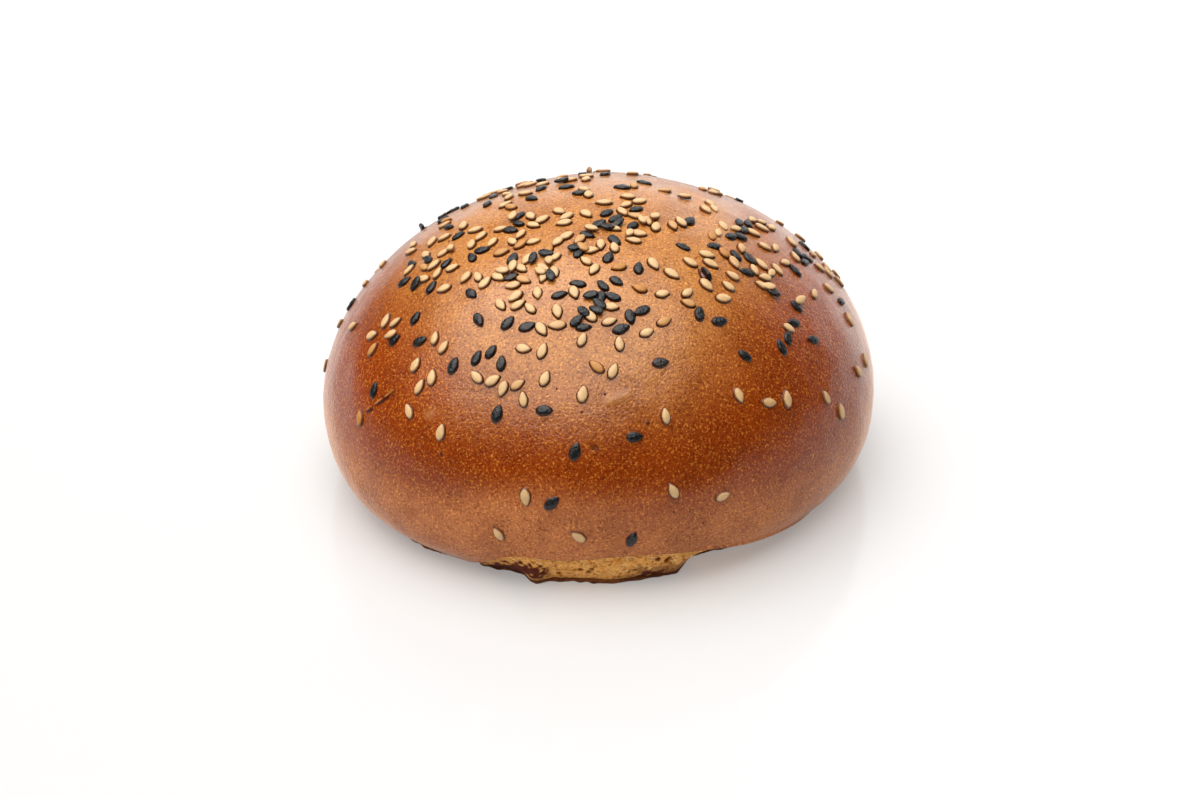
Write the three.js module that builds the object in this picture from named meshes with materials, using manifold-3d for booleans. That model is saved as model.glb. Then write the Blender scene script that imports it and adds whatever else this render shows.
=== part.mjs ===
// Round bread roll with a glossy crust and two kinds of sesame seed, one solid.
// Millimetres, +Z up, front of the roll toward -Y, resting on z = 0.
import * as THREE from 'three';
import Module from 'manifold-3d';
import { mergeVertices } from 'three/addons/utils/BufferGeometryUtils.js';

// Loaf sizes
const halfWidth = 55;
const crownHeight = 57;
const waistHeight = 15;
const underRadius = 42.5;
const crownPower = 1.9;
const underPower = 2.4;
const ovalness = 0.026;
const leanRight = 0.004;
const leanFront = -0.038;
const swellHeight = 0.3;

// Foot sizes: the crust ends in a lip, and bare crumb shows below it at the front
const lipHeight = 1.6;
const openLipHeight = 8.2;
const openLeft = { half: 14, fade: 17 };
const openRight = { half: 6, fade: 60 };
const lipInset = 0.9;
const footRadius = 45.2;
const raggedness = 0.3;
const lobe = { centre: 1.5, half: 14.5, fade: 7, reach: 4.2 };
const corner = { centre: -15, half: 1.5, fade: 4, reach: 1.4 };
const skirt = { centre: -23, half: 3, fade: 4, reach: 2.4 };
const fringe = { centre: -41, half: 5, fade: 3, reach: 3.4 };

// Lattice sizes
const bearingSteps = 48;
const crownLatitudes = [84, 77, 70, 63, 56, 49, 42, 35, 28, 21, 14, 7, 0, -8];
const underShares = [0.3, 0.6, 0.85, 1];

// Sesame sizes
const seedLength = 2.8;
const seedLengthSpread = 0.5;
const seedSlimness = 0.52;
const seedSlimnessSpread = 0.1;
const seedThickness = 0.8;
const seedSink = 0.15;
const seedRoot = 0.55;
const seedGap = 2.1;
const leanGap = 1.15;
const leanShare = 0.16;
const tightSpread = 3;
const tightLeanShare = 0.6;
const leanAngle = 17;
const leanLift = 0.42;
const fusedSeeds = 256;

// Sprinkled zones seen from above: right, back, spread, pale seeds, dark seeds
const zones = [
  [-9, -22, 8, 40, 18], [0, -31, 2.2, 3, 5], [-2, -15, 2.4, 3, 3], [5, -11, 2.6, 3, 4],
  [-13, -21, 2.6, 5, 4], [-33, -12, 2.8, 3, 5], [28, -4, 2.4, 3, 3], [33, -18, 2.2, 2, 3],
  [10, -17, 7, 18, 4], [30, -9, 7, 26, 5], [-27, -12, 7, 18, 6], [-4, 2, 9, 20, 8],
  [-17, 10, 7, 9, 8], [27, 10, 8, 8, 4], [38, 4, 4, 8, 2], [0, 24, 10, 6, 3],
  [-28, 26, 8, 5, 3], [24, 28, 8, 5, 3], [0, 38, 7, 3, 1], [-40, 8, 5, 4, 2],
];

// Stray seeds low on the dome: bearing, latitude, turn of the tip, kind
// (p pale, d dark, P and D the same on edge)
const strays = [
  [-19, -5, -35, 'p'], [-4, -3, -55, 'p'], [6, -6, 20, 'd'], [-9, 8, 45, 'd'],
  [-14, 9, 170, 'p'], [14, 10, -25, 'p'], [24, 6, 75, 'p'], [-5, 21, 15, 'd'],
  [-33, 21, 0, 'p'], [-42, 23, -45, 'p'], [-55, 15, -25, 'p'], [-54, 23, -15, 'd'],
  [-22, 28, 5, 'd'], [-12, 30, 85, 'd'], [7, 24, 90, 'd'], [14, 28, 0, 'p'],
  [-17, 32, -15, 'p'], [-19, 35, 50, 'p'], [-46, 33, 0, 'p'], [-42, 29, 5, 'p'],
  [-40, 32, -20, 'p'], [-29, 35, -60, 'p'], [-25, 35, 50, 'p'], [-13, 37, 15, 'p'],
  [-4, 34, 10, 'p'], [-1, 40, -50, 'p'], [3, 39, 25, 'p'], [15, 40, 90, 'd'],
  [32, 29, 175, 'p'], [39, 25, 110, 'p'], [44, 24, 15, 'p'], [56, 19, -10, 'p'],
  [60, 13, 5, 'p'], [80, 16, 20, 'p'], [73, 17, -20, 'p'], [38, 37, -35, 'd'],
  [50, 35, 5, 'd'], [54, 36, 40, 'd'], [62, 32, -60, 'd'], [-36, 36, -5, 'd'],
  [-31, 39, 5, 'd'], [-28, 41, 15, 'd'], [-49, 38, 45, 'd'], [-57, 35, 15, 'd'],
  [-45, 40, -25, 'p'], [-41, 39, 5, 'p'], [-62, 30, 0, 'p'], [-66, 32, 50, 'p'],
  [-88, 9, 10, 'p'], [-92, 20, 30, 'p'], [-78, 28, 40, 'p'], [-61, 38, 20, 'p'],
  [-20, 43, 90, 'p'], [-15, 43, 10, 'p'], [-5, 46, 20, 'p'], [5, 45, 0, 'p'],
  [13, 47, 75, 'p'], [19, 49, 75, 'p'], [-27, 48, 20, 'd'], [-21, 48, 60, 'd'],
  [31, 49, 30, 'd'], [36, 46, 100, 'd'], [42, 57, 5, 'D'], [-115, 43, 40, 'D'],
  [-176, 58, 20, 'P'], [88, 30, -60, 'd'], [130, 22, 30, 'p'], [160, 30, -60, 'd'],
  [-170, 14, 15, 'p'], [-140, 26, 70, 'p'], [-128, 8, -30, 'd'], [108, 34, 80, 'p'],
  [150, 4, 40, 'p'], [176, 36, -20, 'p'], [-155, 38, 100, 'd'], [118, 18, 10, 'd'],
];

const rad = THREE.MathUtils.degToRad;

// 1 inside the window round a bearing, falling smoothly to 0 over the fade
function windowed(bearing, centre, half, fade) {
  const off = Math.abs(((bearing - centre + 540) % 360) - 180);
  return 1 - THREE.MathUtils.smoothstep(off, half, half + fade);
}

// Point at a plan radius and height, with the oval plan and the lean of the dome
function placed(bearing, radius, z) {
  const b = rad(bearing);
  const k = radius * (1 - ovalness * Math.sin(2 * b));
  return new THREE.Vector3(
    Math.sin(b) * k + leanRight * (z - waistHeight),
    -Math.cos(b) * k + leanFront * (z - waistHeight),
    z,
  );
}

// Crust surface: latitude 90 is the crown, 0 the waist, -90 the edge of the underside
function crustPoint(bearing, latitude) {
  const c = Math.cos(rad(latitude));
  const s = Math.abs(Math.sin(rad(latitude)));
  if (latitude >= 0) {
    const swell = swellHeight * c * (Math.sin(rad(3 * bearing + 40)) * s
      + 0.7 * Math.sin(rad(5 * bearing - 70)) * c);
    return placed(
      bearing,
      halfWidth * c ** (2 / crownPower) + swell,
      waistHeight + (crownHeight - waistHeight) * s ** (2 / crownPower),
    );
  }
  return placed(
    bearing,
    underRadius + (halfWidth - underRadius) * c ** (2 / underPower)
      + 0.7 * swellHeight * Math.sin(rad(5 * bearing - 70)),
    waistHeight * (1 - s ** (2 / underPower)),
  );
}

// Latitude at which the underside has come down to a height
function underLatitude(z) {
  return -THREE.MathUtils.radToDeg(Math.asin((1 - z / waistHeight) ** (underPower / 2)));
}

// Height of the crust's lower edge, raised at the front and toward the right
function lipAt(bearing) {
  const wave = 0.35 * Math.sin(rad(9 * bearing)) + 0.2 * Math.sin(rad(17 * bearing + 50));
  const side = (bearing + 360) % 360 < 180 ? openRight : openLeft;
  const open = windowed(bearing, 0, side.half, side.fade);
  return lipHeight + (openLipHeight - lipHeight + wave) * open;
}

function footAt(bearing) {
  const rag = Math.sin(rad(11 * bearing)) + 0.6 * Math.sin(rad(23 * bearing + 30));
  return [lobe, corner, skirt, fringe].reduce(
    (radius, bulge) => radius
      + bulge.reach * windowed(bearing, bulge.centre, bulge.half, bulge.fade),
    footRadius + raggedness * rag,
  );
}

// One ring of the lattice for each row of the profile, from the crown to the foot
function loafRows() {
  const rows = crownLatitudes.map((lat) => (b) => crustPoint(b, lat));
  const last = crownLatitudes[crownLatitudes.length - 1];
  for (const share of underShares) {
    rows.push((b) => crustPoint(b, last + (underLatitude(lipAt(b)) - last) * share));
  }
  const lipRadius = (b) => {
    const p = crustPoint(b, underLatitude(lipAt(b))).sub(placed(b, 0, lipAt(b)));
    return p.length() / (1 - ovalness * Math.sin(2 * rad(b)));
  };
  rows.push((b) => placed(b, lipRadius(b) - lipInset, lipAt(b) * 0.9));
  rows.push((b) => placed(b, 0.5 * (lipRadius(b) - lipInset + footAt(b)), lipAt(b) * 0.4));
  rows.push((b) => placed(b, footAt(b), 0));
  return rows;
}

function loafGeometry() {
  const rows = loafRows();
  const points = [placed(0, 0, crownHeight)];
  for (const row of rows) {
    for (let i = 0; i < bearingSteps; i += 1) points.push(row((i * 360) / bearingSteps));
  }
  points.push(placed(0, 0, 0));
  const at = (row, i) => 1 + row * bearingSteps + (i % bearingSteps);
  const base = points.length - 1;
  const end = rows.length - 1;
  const faces = [];
  for (let i = 0; i < bearingSteps; i += 1) {
    faces.push(0, at(0, i), at(0, i + 1), base, at(end, i + 1), at(end, i));
    for (let r = 0; r < end; r += 1) {
      faces.push(at(r, i), at(r + 1, i), at(r + 1, i + 1));
      faces.push(at(r, i), at(r + 1, i + 1), at(r, i + 1));
    }
  }
  const geometry = new THREE.BufferGeometry().setFromPoints(points);
  geometry.setIndex(faces);
  return geometry;
}

// Seeded draw, 0 to 1
let drawState = 20417;
function draw() {
  drawState = (drawState * 1664525 + 1013904223) % 4294967296;
  return drawState / 4294967296;
}
const bell = () => (draw() + draw() + draw() - 1.5) * 2;

function makeSeed(bearing, latitude, turn, kind) {
  const length = seedLength + seedLengthSpread * draw();
  return {
    bearing,
    latitude,
    turn,
    length,
    width: length * (seedSlimness + seedSlimnessSpread * draw()),
    onEdge: kind === 'P' || kind === 'D',
    point: crustPoint(bearing, latitude),
    lift: 0,
    tilt: 0,
  };
}

// Strays first, then every zone; a seed keeps its distance or leans on a neighbour
function scatterSeeds() {
  const seeds = strays.map((s) => makeSeed(...s));
  const nearest = (p) => Math.min(...seeds.map((s) => s.point.distanceTo(p)));
  for (const [right, back, spread, pale, dark] of zones) {
    const tight = spread < tightSpread;
    for (let left = pale + dark, tries = 0; left > 0 && tries < 4000; tries += 1) {
      const x = right + spread * bell();
      const y = back + spread * bell();
      const radius = Math.hypot(x, y) / halfWidth;
      const turn = 360 * draw();
      const leans = draw() < (tight ? tightLeanShare : leanShare);
      if (radius < 0.93) {
        const latitude = THREE.MathUtils.radToDeg(Math.acos(radius ** (crownPower / 2)));
        const bearing = THREE.MathUtils.radToDeg(Math.atan2(x, -y));
        const gap = nearest(crustPoint(bearing, latitude));
        if (gap > seedGap || (leans && gap > leanGap)) {
          const seed = makeSeed(bearing, latitude, turn, left > dark ? 'p' : 'd');
          if (gap <= seedGap) {
            seed.lift = leanLift;
            seed.tilt = leanAngle * (2 * draw() - 1);
          }
          seeds.push(seed);
          left -= 1;
        }
      }
    }
  }
  return seeds;
}

// Teardrop outline: across and along, tip at the top
const outline = [[0, 0.5], [0.45, 0.02], [0.3, -0.44], [-0.3, -0.44], [-0.45, 0.02]];

function seedGeometry(seed) {
  const points = [];
  const floor = -seedRoot - seed.lift;
  const n = outline.length;
  for (const level of [floor, 0.55 * seedThickness]) {
    for (const [x, y] of outline) points.push(x * seed.width, y * seed.length, level);
  }
  points.push(0, 0, floor, 0, -0.05 * seed.length, seedThickness);
  const faces = [];
  for (let i = 0; i < n; i += 1) {
    const j = (i + 1) % n;
    faces.push(i, n + i, j, j, n + i, n + j, i, j, 2 * n, n + j, n + i, 2 * n + 1);
  }
  const geometry = new THREE.BufferGeometry();
  geometry.setAttribute('position', new THREE.Float32BufferAttribute(points, 3));
  geometry.setIndex(faces);
  return geometry.applyMatrix4(seedMatrix(seed));
}

// Seat of a seed: across and along its tip in the crust's plane, out along the normal
function seedMatrix(seed) {
  const { bearing: b, latitude: lat } = seed;
  const east = crustPoint(b + 1, lat).sub(crustPoint(b - 1, lat)).normalize();
  const north = crustPoint(b, lat + 1).sub(crustPoint(b, lat - 1));
  const out = new THREE.Vector3().crossVectors(east, north).normalize();
  north.crossVectors(out, east);
  const seat = new THREE.Matrix4().makeBasis(east, north, out);
  seat.setPosition(seed.point.clone().addScaledVector(out, seed.lift - seedSink));
  seat.multiply(new THREE.Matrix4().makeRotationZ(-rad(seed.turn)));
  seat.multiply(new THREE.Matrix4().makeRotationX(rad(seed.tilt)));
  if (seed.onEdge) {
    seat.multiply(new THREE.Matrix4().makeTranslation(0, 0, 0.35 * seed.width));
    seat.multiply(new THREE.Matrix4().makeRotationY(rad(80)));
  }
  return seat;
}

// Joining
const wasm = await Module();
wasm.setup();

function toSolid(geometry) {
  const welded = mergeVertices(geometry, 1e-4);
  return new wasm.Manifold(new wasm.Mesh({
    numProp: 3,
    vertProperties: new Float32Array(welded.attributes.position.array),
    triVerts: new Uint32Array(welded.index.array),
  }));
}

function toMesh(solid, name, material) {
  const { vertProperties, triVerts } = solid.getMesh();
  const geometry = new THREE.BufferGeometry();
  geometry.setAttribute('position', new THREE.BufferAttribute(vertProperties, 3));
  geometry.setIndex(new THREE.BufferAttribute(triVerts, 1));
  geometry.computeVertexNormals();
  const mesh = new THREE.Mesh(geometry, material);
  mesh.name = name;
  return mesh;
}

// The largest seeds are fused; sealed hollows and loose scraps are left out
const largestFirst = scatterSeeds()
  .sort((a, b) => b.length * b.width - a.length * a.width)
  .slice(0, fusedSeeds);
const seedSolids = largestFirst.map((seed) => toSolid(seedGeometry(seed)));
const fused = wasm.Manifold.union([toSolid(loafGeometry()), ...seedSolids]);
const roll = fused.decompose().sort((a, b) => b.volume() - a.volume())[0];

const crustMaterial = new THREE.MeshStandardMaterial({
  color: 0xb8692c, roughness: 0.35, metalness: 0,
});

const group = new THREE.Group();
group.name = 'bread_roll';
group.add(toMesh(roll, 'bread_roll', crustMaterial));

export default group;
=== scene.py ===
import math

import bpy
import numpy as np
from mathutils import Matrix, Vector


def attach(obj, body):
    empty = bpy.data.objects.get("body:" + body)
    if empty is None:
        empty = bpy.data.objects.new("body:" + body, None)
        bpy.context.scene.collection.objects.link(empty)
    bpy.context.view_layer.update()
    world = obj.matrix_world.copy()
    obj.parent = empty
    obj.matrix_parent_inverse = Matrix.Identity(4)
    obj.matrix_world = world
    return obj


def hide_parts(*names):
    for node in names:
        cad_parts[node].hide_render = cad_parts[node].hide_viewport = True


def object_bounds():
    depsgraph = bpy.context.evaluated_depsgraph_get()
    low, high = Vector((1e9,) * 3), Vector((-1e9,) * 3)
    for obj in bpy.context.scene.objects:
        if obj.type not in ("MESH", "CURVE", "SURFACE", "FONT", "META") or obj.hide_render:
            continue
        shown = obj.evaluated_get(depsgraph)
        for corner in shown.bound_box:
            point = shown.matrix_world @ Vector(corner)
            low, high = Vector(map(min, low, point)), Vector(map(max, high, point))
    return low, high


bl_info = {
    "name": "Bread Roll",
    "version": (1, 0, 0),
    "blender": (4, 5, 0),
    "location": "View3D > Sidebar > Bread Roll",
    "description": "Glossy round bread roll with pale and dark sesame seeds",
    "category": "Add Mesh",
}

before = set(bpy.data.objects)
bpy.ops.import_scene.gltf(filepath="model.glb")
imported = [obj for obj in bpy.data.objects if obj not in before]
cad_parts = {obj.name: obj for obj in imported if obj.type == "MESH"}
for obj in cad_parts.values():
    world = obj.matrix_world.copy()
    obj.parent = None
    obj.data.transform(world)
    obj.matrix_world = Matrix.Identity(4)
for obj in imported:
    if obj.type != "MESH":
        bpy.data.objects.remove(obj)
cad_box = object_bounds()

NODE = "bread_roll"
MM = 0.001

# Sprinkled zones seen from above: right, back, spread in mm, pale seeds, dark seeds
ZONES = (
    (-9, -22, 8, 40, 18), (0, -31, 2.2, 3, 5), (-2, -15, 2.4, 3, 3), (5, -11, 2.6, 3, 4),
    (-13, -21, 2.6, 5, 4), (-33, -12, 2.8, 3, 5), (28, -4, 2.4, 3, 3), (33, -18, 2.2, 2, 3),
    (10, -17, 7, 18, 4), (30, -9, 7, 26, 5), (-27, -12, 7, 18, 6), (-4, 2, 9, 20, 8),
    (-17, 10, 7, 9, 8), (27, 10, 8, 8, 4), (38, 4, 4, 8, 2), (0, 24, 10, 6, 3),
    (-28, 26, 8, 5, 3), (24, 28, 8, 5, 3), (0, 38, 7, 3, 1), (-40, 8, 5, 4, 2),
)

# Stray seeds low on the dome: bearing, latitude, turn of the tip, kind
# (p pale, d dark, P and D the same on edge)
STRAYS = (
    (-19, -5, -35, "p"), (-4, -3, -55, "p"), (6, -6, 20, "d"), (-9, 8, 45, "d"),
    (-14, 9, 170, "p"), (14, 10, -25, "p"), (24, 6, 75, "p"), (-5, 21, 15, "d"),
    (-33, 21, 0, "p"), (-42, 23, -45, "p"), (-55, 15, -25, "p"), (-54, 23, -15, "d"),
    (-22, 28, 5, "d"), (-12, 30, 85, "d"), (7, 24, 90, "d"), (14, 28, 0, "p"),
    (-17, 32, -15, "p"), (-19, 35, 50, "p"), (-46, 33, 0, "p"), (-42, 29, 5, "p"),
    (-40, 32, -20, "p"), (-29, 35, -60, "p"), (-25, 35, 50, "p"), (-13, 37, 15, "p"),
    (-4, 34, 10, "p"), (-1, 40, -50, "p"), (3, 39, 25, "p"), (15, 40, 90, "d"),
    (32, 29, 175, "p"), (39, 25, 110, "p"), (44, 24, 15, "p"), (56, 19, -10, "p"),
    (60, 13, 5, "p"), (80, 16, 20, "p"), (73, 17, -20, "p"), (38, 37, -35, "d"),
    (50, 35, 5, "d"), (54, 36, 40, "d"), (62, 32, -60, "d"), (-36, 36, -5, "d"),
    (-31, 39, 5, "d"), (-28, 41, 15, "d"), (-49, 38, 45, "d"), (-57, 35, 15, "d"),
    (-45, 40, -25, "p"), (-41, 39, 5, "p"), (-62, 30, 0, "p"), (-66, 32, 50, "p"),
    (-88, 9, 10, "p"), (-92, 20, 30, "p"), (-78, 28, 40, "p"), (-61, 38, 20, "p"),
    (-20, 43, 90, "p"), (-15, 43, 10, "p"), (-5, 46, 20, "p"), (5, 45, 0, "p"),
    (13, 47, 75, "p"), (19, 49, 75, "p"), (-27, 48, 20, "d"), (-21, 48, 60, "d"),
    (31, 49, 30, "d"), (36, 46, 100, "d"), (42, 57, 5, "D"), (-115, 43, 40, "D"),
    (-176, 58, 20, "P"), (88, 30, -60, "d"), (130, 22, 30, "p"), (160, 30, -60, "d"),
    (-170, 14, 15, "p"), (-140, 26, 70, "p"), (-128, 8, -30, "d"), (108, 34, 80, "p"),
    (150, 4, 40, "p"), (176, 36, -20, "p"), (-155, 38, 100, "d"), (118, 18, 10, "d"),
)

# Broad marks of the crust: bearing, latitude, length, width, turn, relief in mm,
# dark share, pale share
MARKS = (
    (4, 33, 4.8, 1.5, 72, 0.22, 0.0, 0.6), (-37, 24, 2.2, 1.3, 60, 0.08, 0.0, 0.5),
    (-28, 55, 2.8, 1.7, 70, -0.10, 0.35, 0.0), (-1, 22, 2.2, 0.9, 110, -0.14, 0.7, 0.0),
    (-50, 23, 6.0, 1.2, 42, -0.12, 0.6, 0.0),
)

# Narrow marks, modelled as low beads: bearing, latitude, length, width, turn, tone
# (0 burnt, 1 pale)
BEADS = (
    (-53.6, 18.3, 1.9, 0.6, 42, 0.85), (-51.4, 21.4, 2.4, 0.55, 40, 1.0),
    (-49.4, 24.4, 2.8, 0.6, 34, 0.9), (-52.9, 18.2, 2.2, 0.6, 46, 0.0),
    (-50.2, 22.4, 3.6, 0.6, 38, 0.0), (10, 27, 0.8, 0.7, 0, 0.1),
    (-4, 30, 0.6, 0.5, 0, 0.1), (1, 34, 0.5, 0.5, 0, 0.1), (-32, 16, 0.7, 0.5, 0, 0.05),
    (14, 4, 0.5, 0.5, 0, 0.1), (20, -2, 0.5, 0.4, 0, 0.1), (-10, 35, 0.5, 0.4, 0, 0.1),
    (-115, 42, 0.9, 0.7, 20, 0.6), (-80, 57, 0.9, 0.6, 60, 0.6),
)


class RollSizes(bpy.types.PropertyGroup):
    """Sizes of the loaf, its foot and its seeds"""

    half_width: bpy.props.FloatProperty(
        name="Half width", description="From the middle to the waist", default=0.055,
        subtype="DISTANCE", unit="LENGTH")
    crown_height: bpy.props.FloatProperty(
        name="Crown height", description="From the table to the crown", default=0.057,
        subtype="DISTANCE", unit="LENGTH")
    waist_height: bpy.props.FloatProperty(
        name="Waist height", description="Height of the widest line", default=0.015,
        subtype="DISTANCE", unit="LENGTH")
    under_radius: bpy.props.FloatProperty(
        name="Under radius", description="Radius where the curl of the underside ends",
        default=0.0425, subtype="DISTANCE", unit="LENGTH")
    crown_power: bpy.props.FloatProperty(
        name="Crown power", description="Fullness of the dome, 2 for an ellipse",
        default=1.9)
    under_power: bpy.props.FloatProperty(
        name="Under power", description="Fullness of the curl under the waist",
        default=2.4)
    seed_length: bpy.props.FloatProperty(
        name="Seed length", description="Length of the shortest sesame seed",
        default=0.0028, subtype="DISTANCE", unit="LENGTH")
    seed_thickness: bpy.props.FloatProperty(
        name="Seed thickness", description="Thickness of a sesame seed", default=0.0008,
        subtype="DISTANCE", unit="LENGTH")


class RollColours(bpy.types.PropertyGroup):
    """Colours of the crust, the crumb and the seeds, as sRGB hex"""

    crust_band: bpy.props.StringProperty(
        name="Crust band", description="Darkest baked crust, round the middle of the dome",
        default="#8E3703")
    crust_crown: bpy.props.StringProperty(
        name="Crust crown", description="Crust on top of the dome", default="#B8783A")
    crust_low: bpy.props.StringProperty(
        name="Crust low", description="Less baked crust near the table", default="#BE7240")
    crumb: bpy.props.StringProperty(
        name="Crumb", description="Bare crumb at the foot", default="#FFBC66")
    baked_base: bpy.props.StringProperty(
        name="Baked base", description="Dry underside", default="#7E4520")
    pale_seed: bpy.props.StringProperty(
        name="Pale seed", description="Hulled toasted sesame", default="#DDB681")
    dark_seed: bpy.props.StringProperty(
        name="Dark seed", description="Black sesame", default="#0D0E11")


def sizes_mm():
    """The sizes in millimetres, free of single-precision tails."""
    sizes = bpy.context.scene.roll_sizes
    lengths = ("half_width", "crown_height", "waist_height", "under_radius",
               "seed_length", "seed_thickness")
    found = {name: round(getattr(sizes, name) * 1000, 4) for name in lengths}
    found["crown_power"] = round(sizes.crown_power, 5)
    found["under_power"] = round(sizes.under_power, 5)
    return found


# Form of the loaf, the same as the solid's: lengths in mm, angles in degrees
OVALNESS = 0.026
LEAN_RIGHT = 0.004
LEAN_FRONT = -0.038
SWELL = 0.3
LIP = 1.6
OPEN_LIP = 8.2
OPEN_LEFT = (14, 17)
OPEN_RIGHT = (6, 60)
LIP_INSET = 0.9
FOOT = 45.2
RAGGEDNESS = 0.3
RELIEF_DROP = 0.22
# The part of the sphere that is crust; the rest turns in at the lip and closes inside
CRUST_SHARE = 0.93
LIP_TURN = 1.6
LIP_ROLL = 0.15
CLOSED_HEIGHT = 5.0
# Rows of the crumb's grid, and the baked skin of the underside in mm
CRUMB_ROWS = 44
BASE_THICKNESS = 0.9
# Bulges of the foot: bearing, half angle, fade, reach in mm
LOBE = (1.5, 14.5, 7, 4.2)
CORNER = (-15, 1.5, 4, 1.4)
SKIRT = (-23, 3, 4, 2.4)
FRINGE = (-41, 5, 3, 3.4)


def smooth(value, low, high):
    """0 below low, 1 above high, with a smooth rise between."""
    share = np.clip((np.asarray(value, float) - low) / (high - low), 0, 1)
    return share * share * (3 - 2 * share)


def windowed(bearing, centre, half, fade):
    """1 inside the window round a bearing, falling smoothly to 0 over the fade."""
    off = np.abs((np.asarray(bearing, float) - centre + 540) % 360 - 180)
    return 1 - smooth(off, half, half + fade)


def wave(degrees):
    """Sine of an angle in degrees."""
    return np.sin(np.radians(degrees))


def noise_at(points_mm, wavelength, offset=0.0):
    """Smooth noise, -1 to 1, at points in mm, from a lattice of seeded values."""
    place = np.asarray(points_mm, float) / wavelength + offset
    cell = np.floor(place).astype(np.int64)
    part = place - cell
    part = part ** 3 * (part * (part * 6 - 15) + 10)
    total = np.zeros(len(place))
    for corner in np.ndindex(2, 2, 2):
        share = np.prod(np.where(np.array(corner) == 1, part, 1 - part), axis=-1)
        key = (cell + corner) @ np.array([73856093, 19349663, 83492791]) & 0xFFFFFFFF
        key = (key ^ (key >> 13)) * 1274126177 & 0xFFFFFFFF
        key = (key ^ (key >> 16)) * 668265263 & 0xFFFFFFFF
        total += share * ((key >> 8) & 0xFFFF)
    return total / 32767.5 - 1


def placed(bearing, radius, height):
    """Point at a plan radius and height, with the oval plan and the lean of the dome."""
    size = sizes_mm()
    reach = radius * (1 - OVALNESS * wave(2 * bearing))
    rise = height - size["waist_height"]
    return np.stack(np.broadcast_arrays(
        wave(bearing) * reach + LEAN_RIGHT * rise,
        -np.cos(np.radians(bearing)) * reach + LEAN_FRONT * rise,
        height,
    ), axis=-1)


def crust_points(bearing, latitude):
    """Crust surface: latitude 90 is the crown, 0 the waist, below 0 the underside."""
    size = sizes_mm()
    half, waist = size["half_width"], size["waist_height"]
    bearing, latitude = np.broadcast_arrays(
        np.asarray(bearing, float), np.asarray(latitude, float))
    c = np.abs(np.cos(np.radians(latitude)))
    s = np.abs(np.sin(np.radians(latitude)))
    up = 2 / size["crown_power"]
    down = 2 / size["under_power"]
    swell = SWELL * c * (wave(3 * bearing + 40) * s + 0.7 * wave(5 * bearing - 70) * c)
    above = half * c ** up + swell
    below = (size["under_radius"] + (half - size["under_radius"]) * c ** down
             + 0.7 * SWELL * wave(5 * bearing - 70))
    high = waist + (size["crown_height"] - waist) * s ** up
    low = waist * (1 - s ** down)
    return placed(bearing, np.where(latitude >= 0, above, below),
                  np.where(latitude >= 0, high, low))


def crust_relief(points):
    """Height of the uneven crust over its plain form, in mm, at points in mm."""
    return (0.04 * noise_at(points, 2.6) + 0.11 * noise_at(points, 7.0, 11)
            + 0.26 * noise_at(points, 17.0, 5) - RELIEF_DROP)


def crust_seat(bearing, latitude):
    """East, north and outward directions of the crust at a place."""
    east = crust_points(bearing + 1, latitude) - crust_points(bearing - 1, latitude)
    north = crust_points(bearing, latitude + 1) - crust_points(bearing, latitude - 1)
    east = east / np.linalg.norm(east, axis=-1, keepdims=True)
    out = np.cross(east, north)
    out = out / np.linalg.norm(out, axis=-1, keepdims=True)
    return east, np.cross(out, east), out


def under_latitude(height):
    """Latitude at which the underside has come down to a height."""
    size = sizes_mm()
    share = 1 - np.asarray(height, float) / size["waist_height"]
    return -np.degrees(np.arcsin(share ** (size["under_power"] / 2)))


def open_share(bearing):
    """1 where the crust's edge is raised, at the front and toward the right."""
    right = (np.asarray(bearing, float) + 360) % 360 < 180
    return np.where(right, windowed(bearing, 0, *OPEN_RIGHT), windowed(bearing, 0, *OPEN_LEFT))


def lip_height(bearing):
    """Height of the crust's lower edge."""
    ripple = 0.35 * wave(9 * bearing) + 0.2 * wave(17 * bearing + 50)
    return LIP + (OPEN_LIP - LIP + ripple) * open_share(bearing)


def lip_radius(bearing):
    """Plan radius of the crust's lower edge, before the oval plan."""
    edge = crust_points(bearing, under_latitude(lip_height(bearing)))
    middle = placed(bearing, 0, lip_height(bearing))
    return np.linalg.norm(edge - middle, axis=-1) / (1 - OVALNESS * wave(2 * bearing))


def foot_radius(bearing):
    """Plan radius of the foot on the table, before the oval plan."""
    rag = wave(11 * bearing) + 0.6 * wave(23 * bearing + 30)
    radius = FOOT + RAGGEDNESS * rag
    for centre, half, fade, reach in (LOBE, CORNER, SKIRT, FRINGE):
        radius = radius + reach * windowed(bearing, centre, half, fade)
    return radius


# Sesame seeds, placed by the same seeded draw as the solid's
SEED_SPREAD = 0.5
SEED_SLIM = 0.52
SEED_SLIM_SPREAD = 0.1
SEED_SINK = 0.15
SEED_GAP = 2.1
LEAN_GAP = 1.15
LEAN_SHARE = 0.16
TIGHT_SPREAD = 3
TIGHT_LEAN_SHARE = 0.6
LEAN_ANGLE = 17
LEAN_LIFT = 0.42
# A zone's seeds stay within this share of the half width
LAST_RADIUS = 0.93
MOST_TRIES = 4000
# Seeds on edge, and how far below the top of the solid's box every seed stays
EDGE_LIFT = 0.35
EDGE_TURN = 80
TOP_MARGIN = 0.03
SEED_FLATNESS = 0.97
# Pooled wash and painted shadow round each seed: reach past the seed's outline, height
# under the seed and at its rim
GLAZE_SHADOW_REACH = 0.34
GLAZE_SHADOW_MIDDLE = 0.26
GLAZE_SHADOW_RIM = 0.015


class Draw:
    """Seeded draw, 0 to 1, with a bell-shaped form."""

    def __init__(self, start):
        self.state = start

    def __call__(self):
        self.state = (self.state * 1664525 + 1013904223) % 4294967296
        return self.state / 4294967296

    def bell(self):
        """A draw round 0, with a spread of 1."""
        return (self() + self() + self() - 1.5) * 2


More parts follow.
